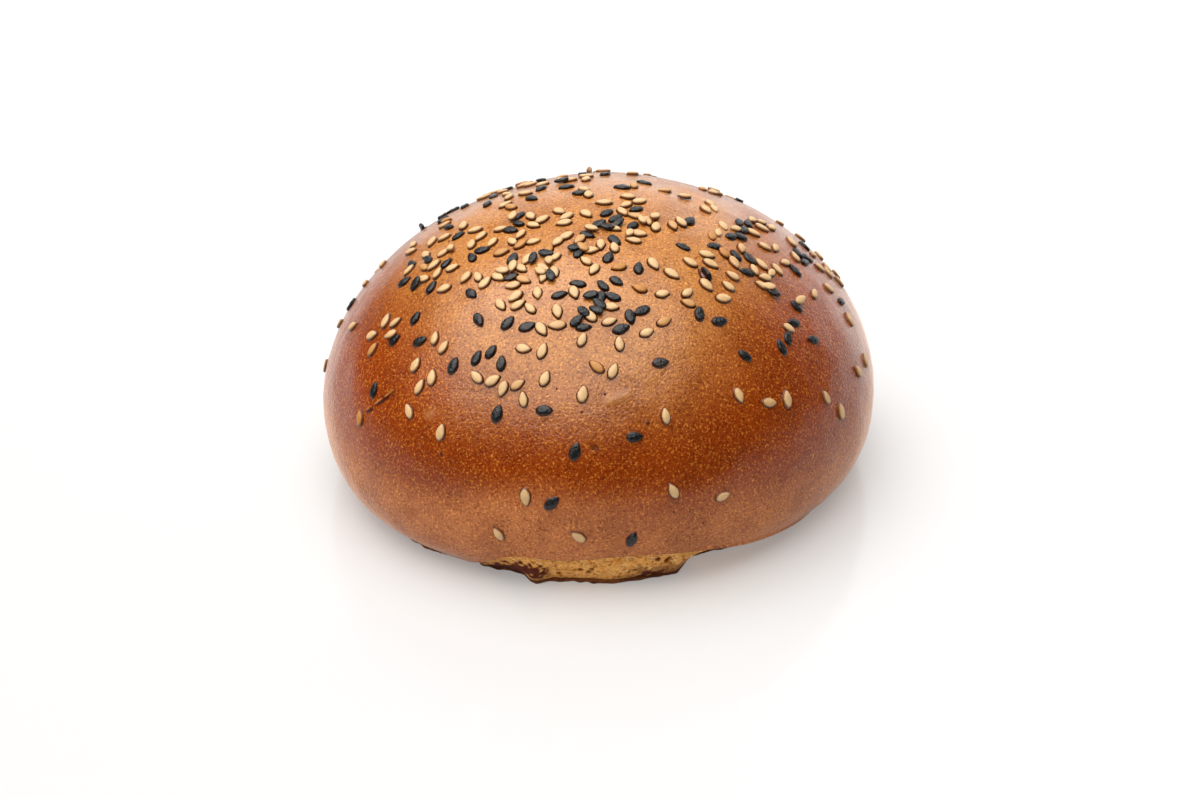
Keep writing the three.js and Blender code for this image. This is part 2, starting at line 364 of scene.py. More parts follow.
def make_seed(draw, bearing, latitude, turn, kind):
    """Size and seat of one seed."""
    length = sizes_mm()["seed_length"] + SEED_SPREAD * draw()
    return {
        "bearing": bearing,
        "latitude": latitude,
        "turn": turn,
        "length": length,
        "width": length * (SEED_SLIM + SEED_SLIM_SPREAD * draw()),
        "dark": kind in "dD",
        "on_edge": kind in "PD",
        "point": tuple(float(v) for v in crust_points(bearing, latitude)),
        "lift": 0.0,
        "tilt": 0.0,
    }


def scatter_seeds():
    """Strays first, then every zone; a seed keeps its distance or leans on a neighbour."""
    size = sizes_mm()
    draw = Draw(20417)
    seeds = [make_seed(draw, *stray) for stray in STRAYS]
    for right, back, spread, pale, dark in ZONES:
        tight = spread < TIGHT_SPREAD
        left = pale + dark
        tries = 0
        while left > 0 and tries < MOST_TRIES:
            tries += 1
            x = right + spread * draw.bell()
            y = back + spread * draw.bell()
            radius = math.hypot(x, y) / size["half_width"]
            turn = 360 * draw()
            leans = draw() < (TIGHT_LEAN_SHARE if tight else LEAN_SHARE)
            if radius >= LAST_RADIUS:
                continue
            latitude = math.degrees(math.acos(radius ** (size["crown_power"] / 2)))
            bearing = math.degrees(math.atan2(x, -y))
            here = tuple(float(v) for v in crust_points(bearing, latitude))
            gap = min(math.dist(here, seed["point"]) for seed in seeds)
            if gap > SEED_GAP or (leans and gap > LEAN_GAP):
                seed = make_seed(draw, bearing, latitude, turn, "p" if left > dark else "d")
                if gap <= SEED_GAP:
                    seed["lift"] = LEAN_LIFT
                    seed["tilt"] = LEAN_ANGLE * (2 * draw() - 1)
                seeds.append(seed)
                left -= 1
    return seeds


def seed_matrix(seed):
    """Seat of a seed in metres: across and along its tip, out from the crust."""
    east, north, out = crust_seat(seed["bearing"], seed["latitude"])
    point = np.array([seed["point"]])
    place = point[0] + out * (seed["lift"] - SEED_SINK + crust_relief(point)[0])
    basis = Matrix([list(row) for row in np.column_stack([east, north, out])]).to_4x4()
    matrix = Matrix.Translation(Vector(place) * MM) @ basis
    matrix = matrix @ Matrix.Rotation(-math.radians(seed["turn"]), 4, "Z")
    matrix = matrix @ Matrix.Rotation(math.radians(seed["tilt"]), 4, "X")
    if seed["on_edge"]:
        matrix = matrix @ Matrix.Translation((0, 0, EDGE_LIFT * seed["width"] * MM))
        matrix = matrix @ Matrix.Rotation(math.radians(EDGE_TURN), 4, "Y")
    return matrix


# Materials
def linear(hex_colour):
    """sRGB hex to a linear colour with alpha."""
    parts = [int(hex_colour[i:i + 2], 16) / 255 for i in (1, 3, 5)]
    return tuple(p / 12.92 if p <= 0.04045 else ((p + 0.055) / 1.055) ** 2.4
                 for p in parts) + (1.0,)


NOISE = "ShaderNodeTexNoise"
RANGE = "ShaderNodeMapRange"
MATH = "ShaderNodeMath"
MIX = "ShaderNodeMix"
ATTRIBUTE = "ShaderNodeAttribute"
BUMP = "ShaderNodeBump"
SMOOTH = {"interpolation_type": "SMOOTHSTEP"}
COLOURS = {"data_type": "RGBA"}


def add(tree, kind, inputs=None, settings=None):
    """Adds a node with its settings; an input given as a node or a socket is linked."""
    new = tree.nodes.new(kind)
    for name, value in (settings or {}).items():
        setattr(new, name, value)
    for name, value in (inputs or {}).items():
        if isinstance(value, bpy.types.Node):
            value = value.outputs[0]
        if isinstance(value, bpy.types.NodeSocket):
            tree.links.new(value, new.inputs[name])
        else:
            new.inputs[name].default_value = value
    return new


def start_material(name):
    """A new material, its empty tree and its object coordinates."""
    material = bpy.data.materials.new(name)
    material.use_nodes = True
    material.node_tree.nodes.clear()
    place = add(material.node_tree, "ShaderNodeTexCoord").outputs["Object"]
    return material, material.node_tree, place


def finish_surface(tree, inputs):
    """Ends a material with its shader."""
    surface = add(tree, "ShaderNodeBsdfPrincipled", inputs)
    add(tree, "ShaderNodeOutputMaterial", {"Surface": surface})


def patchy(tree, place, colour, patches):
    """Lays patches over a colour, each where a noise lies past its limits.

    A patch has a size in mm, detail, roughness, the noise at its edge and at its middle,
    its share there, its colour and how it is laid on.
    """
    for size, detail, rough, edge, middle, share, shade, mode in patches:
        noise = add(tree, NOISE, {"Vector": place, "Scale": 1000 / size, "Detail": detail,
                                  "Roughness": rough})
        spread = add(tree, RANGE, {"Value": noise, "From Min": edge, "From Max": middle,
                                   "To Max": share}, SMOOTH)
        colour = add(tree, MIX, {0: spread, 6: colour, 7: linear(shade)},
                     {"data_type": "RGBA", "blend_type": mode}).outputs[2]
    return colour


def crust_material():
    """Egg-washed crust, baked: a clear brown gloss over blistered orange-brown skin."""
    colours = bpy.context.scene.roll_colours
    material, tree, place = start_material("Egg-washed baked crust")
    # The browned band climbs higher at both sides than at the front
    axes = add(tree, "ShaderNodeSeparateXYZ", {"Vector": place}).outputs
    sideways = add(tree, MATH, {0: axes["X"], 1: 0.010}, {"operation": "ADD"})
    sideways = add(tree, MATH, {0: sideways}, {"operation": "ABSOLUTE"})
    lean = add(tree, MATH, {0: axes["Y"], 1: -0.12}, {"operation": "MULTIPLY"})
    lean = add(tree, MATH, {0: sideways, 1: -0.18, 2: lean}, {"operation": "MULTIPLY_ADD"})
    drift = add(tree, NOISE, {"Vector": place, "Scale": 1000 / 30, "Detail": 2})
    drift = add(tree, MATH, {0: drift, 1: 0.018, 2: -0.009}, {"operation": "MULTIPLY_ADD"})
    height = add(tree, MATH, {0: axes["Z"], 1: drift}, {"operation": "ADD"})
    tilted = add(tree, MATH, {0: height, 1: lean}, {"operation": "ADD"})
    band = add(tree, RANGE, {"Value": height, "From Min": 0.013, "From Max": 0.025}, SMOOTH)
    crown = add(tree, RANGE, {"Value": tilted, "From Min": 0.030, "From Max": 0.050}, SMOOTH)
    colour = add(tree, MIX, {0: band, 6: linear(colours.crust_low),
                             7: linear(colours.crust_band)}, COLOURS).outputs[2]
    colour = add(tree, MIX, {0: crown, 6: colour, 7: linear(colours.crust_crown)},
                 COLOURS).outputs[2]
    # Cloudy browning a few millimetres across, then blistered skin: fine light specks, partly
    # lighter skin and partly painted glints of tiny blisters; darker pores, painted shade in
    # the small pits; and rare dark spots
    colour = patchy(tree, place, colour, (
        (9, 3, 0.6, 0.42, 0.66, 0.32, "#6E2806", "MIX"),
        (0.42, 3, 0.7, 0.52, 0.66, 1.0, "#9C6E2C", "ADD"),
        (0.5, 3, 0.65, 0.49, 0.36, 0.8, "#B8987C", "MULTIPLY"),
        (2.6, 1, 0.5, 0.27, 0.17, 0.35, "#5A1E08", "MIX"),
    ))
    marks = add(tree, ATTRIBUTE, None, {"attribute_name": "marks"})
    parts = add(tree, "ShaderNodeSeparateColor", {"Color": marks}).outputs
    colour = add(tree, MIX, {0: parts["Red"], 6: colour, 7: linear("#3A1004")},
                 COLOURS).outputs[2]
    colour = add(tree, MIX, {0: parts["Green"], 6: colour, 7: linear("#BE8450")},
                 COLOURS).outputs[2]
    # Skin bubbles half a millimetre across on shallow waves of 2.4 mm
    bubbles = add(tree, NOISE, {"Vector": place, "Scale": 1000 / 0.5, "Detail": 1.5,
                                "Roughness": 0.6})
    waves = add(tree, NOISE, {"Vector": place, "Scale": 1000 / 2.4, "Detail": 2})
    relief = add(tree, MATH, {0: waves, 1: 0.8, 2: bubbles}, {"operation": "MULTIPLY_ADD"})
    skin = add(tree, BUMP, {"Strength": 0.8, "Distance": 0.0002, "Height": relief})
    gloss = add(tree, BUMP, {"Strength": 0.6, "Distance": 0.00014, "Height": relief})
    dull = add(tree, NOISE, {"Vector": place, "Scale": 1000 / 5, "Detail": 2})
    dull = add(tree, RANGE, {"Value": dull, "From Min": 0.3, "From Max": 0.7,
                             "To Min": 0.38, "To Max": 0.50}, SMOOTH)
    # The wash is brushed on the dome and thins out toward the table
    wash = add(tree, RANGE, {"Value": height, "From Min": 0.012, "From Max": 0.030,
                             "To Min": 0.30, "To Max": 0.75}, SMOOTH)
    finish_surface(tree, {
        "Base Color": colour, "Normal": skin, "Coat Normal": gloss, "Roughness": dull,
        "Coat Weight": wash, "Coat Roughness": 0.13, "Coat IOR": 1.5,
        "Specular IOR Level": 0.06, "Sheen Weight": 1.0, "Sheen Roughness": 0.21,
        "Sheen Tint": linear("#FFE0CC")})
    return material


def crumb_material():
    """Torn crumb: dry, pale golden, full of small bubbles with painted shade in them, toasted
    where it is thin.
    """
    colours = bpy.context.scene.roll_colours
    material, tree, place = start_material("Torn open crumb")
    toast = add(tree, ATTRIBUTE, None, {"attribute_name": "toast"}).outputs["Fac"]
    pore = add(tree, ATTRIBUTE, None, {"attribute_name": "pore"}).outputs["Fac"]
    colour = patchy(tree, place, linear(colours.crumb), (
        (1.6, 3, 0.6, 0.35, 0.70, 1.0, "#DC9238", "MIX"),
        (0.5, 2, 0.5, 0.53, 0.70, 0.65, "#FFE2AC", "MIX"),
        (0.7, 2, 0.6, 0.46, 0.36, 0.75, "#A85A1C", "MIX"),
    ))
    # The torn bubbles darker by their depth: painted shade in their dents
    colour = add(tree, MIX, {0: pore, 6: colour, 7: linear("#8A4A18")}, COLOURS).outputs[2]
    colour = add(tree, MIX, {0: toast, 6: colour, 7: linear("#5E2209")}, COLOURS).outputs[2]
    relief = add(tree, NOISE, {"Vector": place, "Scale": 1000 / 0.9, "Detail": 3,
                               "Roughness": 0.6})
    bump = add(tree, BUMP, {"Strength": 0.9, "Distance": 0.0004, "Height": relief})
    finish_surface(tree, {"Base Color": colour, "Normal": bump, "Roughness": 0.7,
                          "Specular IOR Level": 0.15})
    return material


def base_material():
    """Baked underside: dry, mottled brown, darkest at its thin torn rim."""
    colours = bpy.context.scene.roll_colours
    material, tree, place = start_material("Dry baked underside")
    rim = add(tree, ATTRIBUTE, None, {"attribute_name": "toast"}).outputs["Fac"]
    colour = patchy(tree, place, linear(colours.baked_base), (
        (12, 4, 0.6, 0.35, 0.65, 1.0, "#A8672F", "MIX"),
        (1.1, 2, 0.5, 0.52, 0.70, 0.7, "#4A2009", "MIX"),
    ))
    colour = add(tree, MIX, {0: rim, 6: colour, 7: linear("#5A2A12")}, COLOURS).outputs[2]
    relief = add(tree, NOISE, {"Vector": place, "Scale": 1000 / 1.2, "Detail": 3})
    bump = add(tree, BUMP, {"Strength": 0.7, "Distance": 0.0002, "Height": relief})
    finish_surface(tree, {"Base Color": colour, "Normal": bump, "Roughness": 0.62,
                          "Specular IOR Level": 0.2})
    return material


def seed_material(name, base, edge, tinted, roughness, relief):
    """Sesame skin: finely uneven, some seeds toasted, darker round the edge by toasting and
    painted shade.
    """
    material, tree, place = start_material(name)
    tone = add(tree, ATTRIBUTE, None, {"attribute_name": "tone"}).outputs["Fac"]
    side = add(tree, ATTRIBUTE, None, {"attribute_name": "side"}).outputs["Fac"]
    toasted = add(tree, RANGE, {"Value": tone, "From Min": 0.80, "From Max": 1.0}, SMOOTH)
    colour = add(tree, MIX, {0: toasted, 6: linear(base), 7: linear(tinted)},
                 COLOURS).outputs[2]
    colour = patchy(tree, place, colour, ((1.3, 2, 0.5, 0.3, 0.7, 0.18, edge, "MIX"),))
    # The rim darker: partly toasting, partly painted shade where the seed meets the crust
    colour = add(tree, MIX, {0: side, 6: colour, 7: linear(edge)}, COLOURS).outputs[2]
    uneven = add(tree, NOISE, {"Vector": place, "Scale": 1000 / 0.6, "Detail": 2})
    bump = add(tree, BUMP, {"Strength": relief, "Distance": 0.00025, "Height": uneven})
    finish_surface(tree, {"Base Color": colour, "Normal": bump, "Roughness": roughness,
                          "IOR": 1.47})
    return material


def mark_material():
    """Raised threads and burnt specks of crust: from burnt brown to dry golden."""
    material, tree, place = start_material("Scratched and burnt crust")
    tone = add(tree, ATTRIBUTE, None, {"attribute_name": "tone"}).outputs["Fac"]
    colour = add(tree, MIX, {0: tone, 6: linear("#3A0F02"), 7: linear("#C87A34")},
                 COLOURS).outputs[2]
    colour = patchy(tree, place, colour, (
        (0.6, 2, 0.5, 0.35, 0.65, 0.5, "#5A1E06", "MIX"),))
    finish_surface(tree, {"Base Color": colour, "Roughness": 0.4,
                          "Specular IOR Level": 0.3})
    return material


def glaze_and_shadow_material():
    """Egg wash pooled and baked hard against a seed, and painted shadow round it: thin, dark
    and glossy.
    """
    material, tree, place = start_material("Pooled egg wash and painted seed shadow")
    colour = patchy(tree, place, linear("#4E1C06"), (
        (1.5, 2, 0.5, 0.3, 0.7, 1.0, "#7A3610", "MIX"),))
    finish_surface(tree, {"Base Color": colour, "Roughness": 0.35, "Coat Weight": 0.7,
                          "Coat Roughness": 0.2})
    return material


def floor_material():
    """Sealed white table top, softly lit from below, with a faint mirror image."""
    material, tree, _ = start_material("White sealed table top")
    finish_surface(tree, {
        "Base Color": (0.45, 0.45, 0.45, 1), "Emission Color": (1, 0.985, 0.97, 1),
        "Emission Strength": 0.27, "Roughness": 0.12, "IOR": 1.45})
    return material


# Helpers for modelling
def start_clean():
    """Object mode, with nothing selected."""
    if bpy.context.object and bpy.context.object.mode != "OBJECT":
        bpy.ops.object.mode_set(mode="OBJECT")
    bpy.ops.object.select_all(action="DESELECT")


def get_points(mesh):
    """The mesh's vertices, one row each."""
    flat = np.zeros(len(mesh.vertices) * 3)
    mesh.vertices.foreach_get("co", flat)
    return flat.reshape(-1, 3)


def set_points(mesh, points):
    """Moves the mesh's vertices to these rows."""
    mesh.vertices.foreach_set("co", np.asarray(points, float).ravel())
    mesh.update()


def set_share(mesh, name, values):
    """A value for each vertex, which a material can read by its name."""
    layer = mesh.attributes.new(name, "FLOAT", "POINT")
    layer.data.foreach_set("value", np.asarray(values, np.float32))


def finish_piece(piece, name, material):
    """Names, smooths, places and registers one finished piece."""
    bpy.ops.object.transform_apply(location=True, rotation=True, scale=True)
    bpy.ops.object.shade_smooth()
    piece.name = name
    piece.data.name = name
    piece.data.materials.clear()
    piece.data.materials.append(material)
    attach(piece, "root")
    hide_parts(NODE)


def copy_template(template):
    """A copy of a template with a mesh of its own."""
    copy = template.copy()
    copy.data = template.data.copy()
    bpy.context.collection.objects.link(copy)
    return copy


def join_copies(template, copies):
    """Joins the copies into one piece and removes their template."""
    bpy.data.objects.remove(template)
    start_clean()
    for copy in copies:
        copy.select_set(True)
    bpy.context.view_layer.objects.active = copies[0]
    bpy.ops.object.join()
    return bpy.context.object


class ROLL_OT_crust(bpy.types.Operator):
    """Model the crust from a sphere: dome, waist and the lip that ends it"""

    bl_idname = "roll.crust"
    bl_label = "Add crust"

    def execute(self, context):
        size = sizes_mm()
        start_clean()
        bpy.ops.mesh.primitive_uv_sphere_add(
            segments=270, ring_count=88, radius=size["half_width"] * MM)
        piece = context.object
        bpy.ops.object.mode_set(mode="EDIT")
        bpy.ops.mesh.subdivide(number_cuts=1)
        bpy.ops.object.mode_set(mode="OBJECT")
        points = get_points(piece.data)
        bearing = np.degrees(np.arctan2(points[:, 0], -points[:, 1]))
        flat = np.hypot(points[:, 0], points[:, 1])
        polar = np.degrees(np.arctan2(flat, points[:, 2]))
        share = polar / 180
        down = np.clip(share / CRUST_SHARE, 0, 1)
        lowest = under_latitude(lip_height(bearing))
        latitude = 90 + (lowest - 90) * down
        shaped = crust_points(bearing, latitude)
        east, north, out = crust_seat(bearing, np.minimum(latitude, 88.9))
        dark, pale, rise = self.marks(shaped)
        # Shallow folds high on the right shoulder
        fold = 0.35 * wave(26 * (latitude - 60)) * np.exp(
            -((bearing - 100) / 45) ** 2 - ((latitude - 68) / 12) ** 2)
        fade = smooth(np.abs(share - CRUST_SHARE), 0.0, 0.03)
        shaped = shaped + out * ((crust_relief(shaped) + rise + fold) * fade)[:, None]
        inward = (share - CRUST_SHARE) / (1 - CRUST_SHARE)
        closing = self.closing(bearing, inward)
        shaped = np.where((inward > 0)[:, None], closing, shaped)
        set_points(piece.data, shaped * MM)
        layer = piece.data.attributes.new("marks", "FLOAT_COLOR", "POINT")
        values = np.stack([dark, pale, np.zeros_like(dark), np.ones_like(dark)], axis=-1)
        layer.data.foreach_set("color", values.astype(np.float32).ravel())
        finish_piece(piece, "crust", crust_material())
        return {"FINISHED"}

    def closing(self, bearing, inward):
        """Surface that turns in over the lip and closes the crust inside the loaf."""
        lip = lip_height(bearing)
        radius = (lip_radius(bearing) - LIP_TURN * smooth(inward, 0, 0.25)) * (
            1 - smooth(inward, 0.2, 1.0))
        height = lip + LIP_ROLL + (CLOSED_HEIGHT - lip) * smooth(inward, 0.25, 1.0)
        return placed(bearing, radius, height)

    def marks(self, points):
        """Dark share, pale share and relief of the broad marks at every point."""
        dark = np.zeros(len(points))
        pale = np.zeros(len(points))
        rise = np.zeros(len(points))
        for at, up, length, width, turn, relief, dark_share, pale_share in MARKS:
            centre = crust_points(at, up)
            e, n, o = crust_seat(at, up)
            along = n * math.cos(math.radians(turn)) + e * math.sin(math.radians(turn))
            across = np.cross(o, along)
            gap = points - centre
            near = np.exp(-((gap @ along) / (0.5 * length)) ** 4
                          - ((gap @ across) / (0.55 * width)) ** 2
                          - ((gap @ o) / 3) ** 2)
            dark = np.maximum(dark, near * dark_share)
            pale = np.maximum(pale, near * pale_share)
            rise = rise + near * relief
        return dark, pale, rise


class ROLL_OT_crumb(bpy.types.Operator):
    """Model the band of torn crumb between the crust's lip and the foot"""

    bl_idname = "roll.crumb"
    bl_label = "Add crumb"

    def execute(self, context):
        start_clean()
        bpy.ops.mesh.primitive_grid_add(
            x_subdivisions=900, y_subdivisions=CRUMB_ROWS, size=2)
        piece = context.object
        points = get_points(piece.data)
        side = points[:, 0]
        bearing = 180 * np.sign(side) * np.abs(side) ** 1.5
        # The last two rows turn back inside the loaf, to the first, and close the band
        row = np.round(CRUMB_ROWS * (1 - points[:, 1]) / 2)
        down = np.where(row == CRUMB_ROWS, 0, np.minimum(row / (CRUMB_ROWS - 2), 1))
        top_radius = lip_radius(bearing) - LIP_INSET
        radius = top_radius + (foot_radius(bearing) - 0.25 - top_radius) * down
        height = lip_height(bearing) * (1.05 - 0.95 * down)
        shaped = placed(bearing, radius, height)
        outward = placed(bearing, 1, 10) - placed(bearing, 0, 10)
        opened = open_share(bearing)
        middle = np.sin(np.pi * np.clip(down, 0, 1))
        rough = 0.30 * noise_at(shaped, 0.8) + 0.3 * noise_at(shaped, 2.6, 5)
        pore = self.bubbles(shaped)
        swell = (0.55 * middle + rough * (0.3 + 0.7 * middle)) * opened - 0.9 * pore
        shaped = shaped + outward * swell[:, None]
        inner = placed(bearing, foot_radius(bearing) - 4, 0.6 * lip_height(bearing))
        shaped = np.where((row == CRUMB_ROWS - 1)[:, None], inner, shaped)
        set_points(piece.data, shaped * MM)
        # Bubble depth, which the crumb's material darkens as painted shade
        set_share(piece.data, "pore", np.clip(pore * 1.2, 0, 1))
        set_share(piece.data, "toast", self.toast(shaped, bearing, down, opened))
        bpy.ops.object.mode_set(mode="EDIT")
        bpy.ops.mesh.select_all(action="SELECT")
        bpy.ops.mesh.remove_doubles(threshold=0.00001)
        bpy.ops.mesh.normals_make_consistent(inside=False)
        bpy.ops.object.mode_set(mode="OBJECT")
        finish_piece(piece, "crumb", crumb_material())
        return {"FINISHED"}

    def toast(self, points, bearing, down, opened):
        """Share of toasting: a patch at each end, the torn rim and the shut sides."""
        ragged = 0.5 + 0.5 * noise_at(points, 1.8, 3)
        level = down + 0.22 * noise_at(points, 0.9, 8)
        left = (windowed(bearing, -20.5, 3.5, 2) * smooth(level, 0.35, 0.55)
                + windowed(bearing, -14.5, 3, 2) * smooth(level, 0.4, 0.55)
                * (1 - smooth(level, 0.82, 0.95)))
        right = 0.55 * windowed(bearing, 14, 5.5, 3) * smooth(level, 0.5, 0.72)
        rim = smooth(level, 0.84, 1.0) * ragged * (0.9 - 0.6 * windowed(bearing, -4, 5, 4))
        baked = (1 - opened) * (0.55 + 0.3 * ragged)
        return np.clip(np.maximum(left + right + rim, baked), 0, 1)

    def bubbles(self, points):
        """Depth share of the small bubbles torn open in the crumb, for their dents and their
        painted shade.
        """
        draw = Draw(733)
        depth = np.zeros(len(points))
        for _ in range(120):
            bearing = 58 * (draw() - 0.5)
            level = 0.25 + 0.65 * draw()
            size = 0.22 + 0.5 * draw() ** 3
            top = lip_radius(bearing) - LIP_INSET
            radius = top + (foot_radius(bearing) - top) * level
            centre = placed(bearing, radius, lip_height(bearing) * (1 - level))
            gap = np.linalg.norm(points - centre, axis=-1) / size
            depth = np.maximum(depth, (1 - smooth(gap, 0.5, 1.15)) * min(1, size * 2))
        return depth


class ROLL_OT_base(bpy.types.Operator):
    """Model the thin baked skin of the underside, with its torn rim"""

    bl_idname = "roll.base"
    bl_label = "Add baked underside"

    def execute(self, context):
        start_clean()
        bpy.ops.mesh.primitive_circle_add(
            vertices=720, radius=FOOT * MM, fill_type="NGON", location=(0, 0, 0))
        piece = context.object
        bpy.ops.object.mode_set(mode="EDIT")
        bpy.ops.mesh.select_all(action="SELECT")
        bpy.ops.mesh.flip_normals()
        for width in (0.6, 2.0, 6.0, 12.0, 14.0):
            bpy.ops.mesh.inset(thickness=width * MM)
        bpy.ops.mesh.select_all(action="SELECT")
        bpy.ops.mesh.extrude_region_move(
            TRANSFORM_OT_translate={"value": (0, 0, BASE_THICKNESS * MM)})
        bpy.ops.mesh.select_all(action="SELECT")
        bpy.ops.mesh.normals_make_consistent(inside=False)
        bpy.ops.object.mode_set(mode="OBJECT")
        points = get_points(piece.data) / MM
        bearing = np.degrees(np.arctan2(points[:, 0], -points[:, 1]))
        reach = np.hypot(points[:, 0], points[:, 1]) / FOOT
        upper = points[:, 2] > BASE_THICKNESS / 2
        jag = 0.28 * noise_at(points, 1.1) + 0.35 * noise_at(points, 3.1, 7)
        edge = smooth(reach, 0.9, 1.0)
        radius = foot_radius(bearing) * reach + jag * edge
        radius = radius - np.where(upper, 0.7 * edge, 0)
        lift = 0.35 * (0.5 + 0.5 * noise_at(points, 2.2, 9)) * edge
        height = np.where(upper, BASE_THICKNESS + 0.5 * lift,
                          lift * smooth(reach, 0.985, 1.0))
        shaped = placed(bearing, radius, height)
        set_points(piece.data, shaped * MM)
        ragged = 0.5 + 0.5 * noise_at(points, 1.7, 4)
        burnt = 0.35 + 0.65 * np.maximum(windowed(bearing, -24, 12, 4),
                                         windowed(bearing, 14, 8, 4))
        set_share(piece.data, "toast",
                  smooth(reach, 0.96, 0.99) * (0.4 + 0.6 * ragged) * burnt)
        start_clean()
        piece.select_set(True)
        context.view_layer.objects.active = piece
        finish_piece(piece, "baked_base", base_material())
        return {"FINISHED"}


class ROLL_OT_sesame(bpy.types.Operator):
    """Model one sesame seed from a sphere and copy it to every place"""

    bl_idname = "roll.sesame"
    bl_label = "Add sesame seeds"

    def execute(self, context):
        colours = context.scene.roll_colours
        seeds = scatter_seeds()
        kinds = (
            ("pale_sesame", False, seed_material(
                "Hulled toasted sesame", colours.pale_seed, "#6A3410", "#C08034", 0.42, 0.2)),
            ("dark_sesame", True, seed_material(
                "Black sesame skin", colours.dark_seed, "#08090B", "#241C18", 0.34, 1.0)),
        )
        thickness = SEED_FLATNESS * sizes_mm()["seed_thickness"]
        highest = cad_box[1][2] - TOP_MARGIN * MM
        for name, dark, material in kinds:
            template = self.template(dark)
            copies = []
            chosen = [seed for seed in seeds if seed["dark"] == dark]
            for number, seed in enumerate(chosen):
                copy = copy_template(template)
                sized = Matrix.Diagonal((seed["width"], seed["length"], thickness, 1 / MM))
                copy.data.transform(seed_matrix(seed) @ (sized * MM))
                over = max(0.0, get_points(copy.data)[:, 2].max() - highest)
                copy.data.transform(Matrix.Translation((0, 0, -over)))
                tone = Draw(91 + 7 * number)
                tone()
                set_share(copy.data, "tone", [tone()] * len(copy.data.vertices))
                copies.append(copy)
            finish_piece(join_copies(template, copies), name, material)
        self.glaze_and_shadow_rings(seeds)
        self.beads()
        return {"FINISHED"}

    def template(self, dark):
        """One seed, a unit long, wide and thick: a flat drop with a blunt end."""
        start_clean()
        bpy.ops.mesh.primitive_uv_sphere_add(
            segments=12, ring_count=6, radius=0.5, location=(0, 0, 0))
        seed = bpy.context.object
        points = get_points(seed.data)
        # The rings move out to the rim, where the flat faces turn into the edge
        reach = np.clip(np.hypot(points[:, 0], points[:, 1]) / 0.5, 0, 1)
        outward = np.maximum(reach, 0.01) ** -0.55
        points[:, :2] *= outward[:, None]
        reach = reach * outward
        along = points[:, 1] / 0.5
        taper, relief = (0.26, 0.10) if dark else (0.38, 0.0)
        narrow = 1 - taper * smooth(along, -0.2, 1.0) ** 1.3
        face = (1 - np.minimum(reach, 1) ** 7) ** 0.5
        points[:, 2] = 0.5 + 0.5 * np.sign(np.round(points[:, 2], 4)) * face
        points[:, 0] *= narrow
        points[:, 2] -= relief * (1 + noise_at(points * 8, 1.5, 2)) * (points[:, 2] > 0.5)
        set_points(seed.data, points)
        # Rim share, darkened by the material: partly toasting, partly painted shade where the
        # seed meets the crust
        side = 0.6 * smooth(reach, 0.84, 0.98)
        if not dark:
            side = 0.3 * smooth(reach, 0.70, 0.92) + 0.7 * smooth(reach, 0.92, 0.99)
        set_share(seed.data, "side", side)
        return seed

    def glaze_and_shadow_rings(self, seeds):
        """A thin dark ring round every seed on the crust: pooled baked egg wash and painted
        shadow.
        """
        start_clean()
        bpy.ops.mesh.primitive_cone_add(vertices=16, radius1=0.5, depth=1, location=(0, 0, 0))
        template = bpy.context.object
        points = get_points(template.data)
        along = points[:, 1] / 0.5
        points[:, 0] *= 1 - 0.34 * smooth(along, -0.1, 1.0)
        set_points(template.data, points)
        copies = []
        for seed in seeds:
            if seed["lift"] > 0:
                continue
            copy = copy_template(template)
            flat = get_points(copy.data)
            middle = np.hypot(flat[:, 0], flat[:, 1]) < 0.05
            flat[:, 0] *= (seed["width"] + GLAZE_SHADOW_REACH) * MM
            flat[:, 1] *= (seed["length"] + GLAZE_SHADOW_REACH) * MM
            flat[:, 2] = (SEED_SINK + np.where(middle, GLAZE_SHADOW_MIDDLE, GLAZE_SHADOW_RIM)) * MM
            set_points(copy.data, flat)
            copy.data.transform(seed_matrix(dict(seed, on_edge=False)))
            copies.append(copy)
        finish_piece(join_copies(template, copies), "seed_glaze_and_shadow",
                     glaze_and_shadow_material())

    def beads(self):
        """Scratches, pimples and burnt specks of the crust, as low beads."""
        start_clean()
        bpy.ops.mesh.primitive_uv_sphere_add(
            segments=14, ring_count=8, radius=0.5, location=(0, 0, 0))
        template = bpy.context.object
        copies = []
        for bearing, latitude, length, width, turn, tone in BEADS:
            copy = copy_template(template)
            seat = {"bearing": bearing, "latitude": latitude, "turn": turn, "lift": SEED_SINK,
                    "tilt": 0.0, "on_edge": False,
                    "point": tuple(float(v) for v in crust_points(bearing, latitude))}
            sized = Matrix.Diagonal((width, length, 0.3 + 0.2 * tone, 1 / MM))
            copy.data.transform(seed_matrix(seat) @ (sized * MM))
            set_share(copy.data, "tone", [tone] * len(copy.data.vertices))
            copies.append(copy)
        finish_piece(join_copies(template, copies), "crust_marks",
                     mark_material())


# Stage: the photograph is 1200 by 799; the fitted camera is 440 mm away, 29.4 degrees up
CAMERA_DISTANCE = 0.440
CAMERA_ELEVATION = 29.4
PIXELS_PER_RADIAN = 2162.4
IMAGE_WIDTH = 1200
IMAGE_MIDDLE_ROW = 399.5
ORIGIN_ROW = 452.5
TABLE_SIZE = 8
TABLE_FRONT = 0.18
# Lights of the room: where each is, cosines of its outer and inner edge, strength
OVERHEAD = ((-0.22, -0.10, 0.97), 0.60, 0.88, 3.4)
BACKDROP = ((0.30, 0.94, 0.05), 0.56, 0.95, 1.4)


